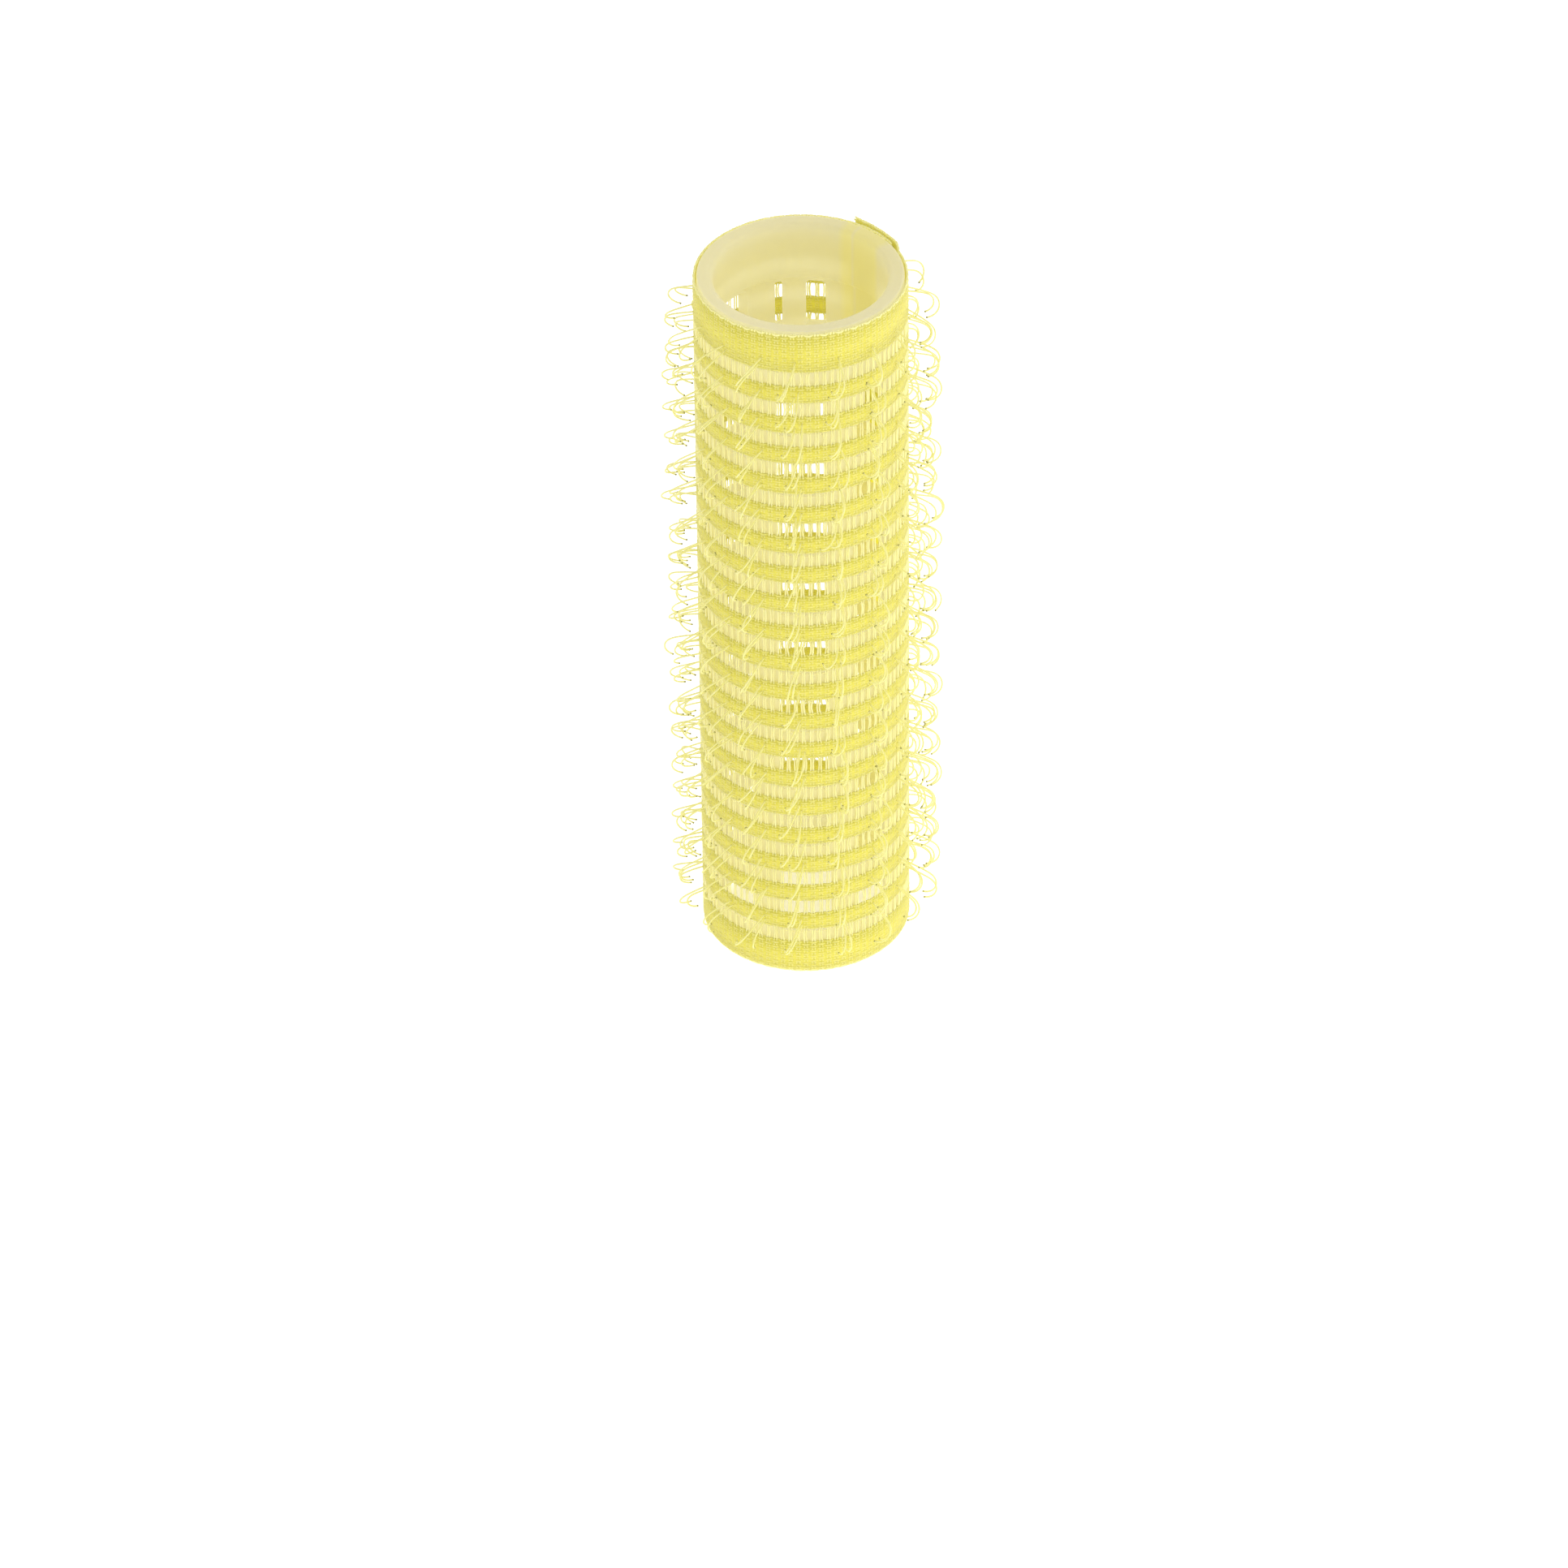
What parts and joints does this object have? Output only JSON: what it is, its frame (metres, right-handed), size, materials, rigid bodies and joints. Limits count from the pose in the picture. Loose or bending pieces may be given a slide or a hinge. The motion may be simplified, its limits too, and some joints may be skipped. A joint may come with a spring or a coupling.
{
  "type": "hair roller",
  "caption": "Self-grip hair roller: a vented plastic barrel wrapped in woven hook tape, open at both ends.",
  "frame": {"origin": "centre of the bottom rim, on the roller's axis", "axes": "+Z along the roller's axis towards the top mouth; -Y is the front, and the tape's lap is at the back right"},
  "size_m": [0.0226, 0.0225, 0.063],
  "materials": {
    "barrel_plastic": "milky translucent moulded polypropylene, satin gloss",
    "tape_weave": "plain woven yellow polyamide yarn",
    "ladder_yarn": "fine pale yellow filament yarn",
    "hook_filament": "clear pale yellow nylon monofilament with cut ends",
    "weld_bead": "fused yellow tape"
  },
  "bodies": {
    "root": {"core_barrel": "barrel_plastic", "top_selvedge": "tape_weave", "bottom_selvedge": "tape_weave", "hook_band_01": "tape_weave", "hook_band_02": "tape_weave", "hook_band_03": "tape_weave", "hook_band_04": "tape_weave", "hook_band_05": "tape_weave", "hook_band_06": "tape_weave", "hook_band_07": "tape_weave", "hook_band_08": "tape_weave", "hook_band_09": "tape_weave", "hook_band_10": "tape_weave", "hook_band_11": "tape_weave", "hook_band_12": "tape_weave", "hook_band_13": "tape_weave", "hook_band_14": "tape_weave", "hook_band_15": "tape_weave", "hook_band_16": "tape_weave", "hook_band_17": "tape_weave", "hook_band_18": "tape_weave", "hook_band_19": "tape_weave", "top_selvedge_hooks": "hook_filament", "hook_row_01": "hook_filament", "hook_row_02": "hook_filament", "hook_row_03": "hook_filament", "hook_row_04": "hook_filament", "hook_row_05": "hook_filament", "hook_row_06": "hook_filament", "hook_row_07": "hook_filament", "hook_row_08": "hook_filament", "hook_row_09": "hook_filament", "hook_row_10": "hook_filament", "hook_row_11": "hook_filament", "hook_row_12": "hook_filament", "hook_row_13": "hook_filament", "hook_row_14": "hook_filament", "hook_row_15": "hook_filament", "hook_row_16": "hook_filament", "hook_row_17": "hook_filament", "hook_row_18": "hook_filament", "hook_row_19": "hook_filament", "ladder_yarns": "ladder_yarn", "lap_weld": "weld_bead"}
  },
  "joints": []
}
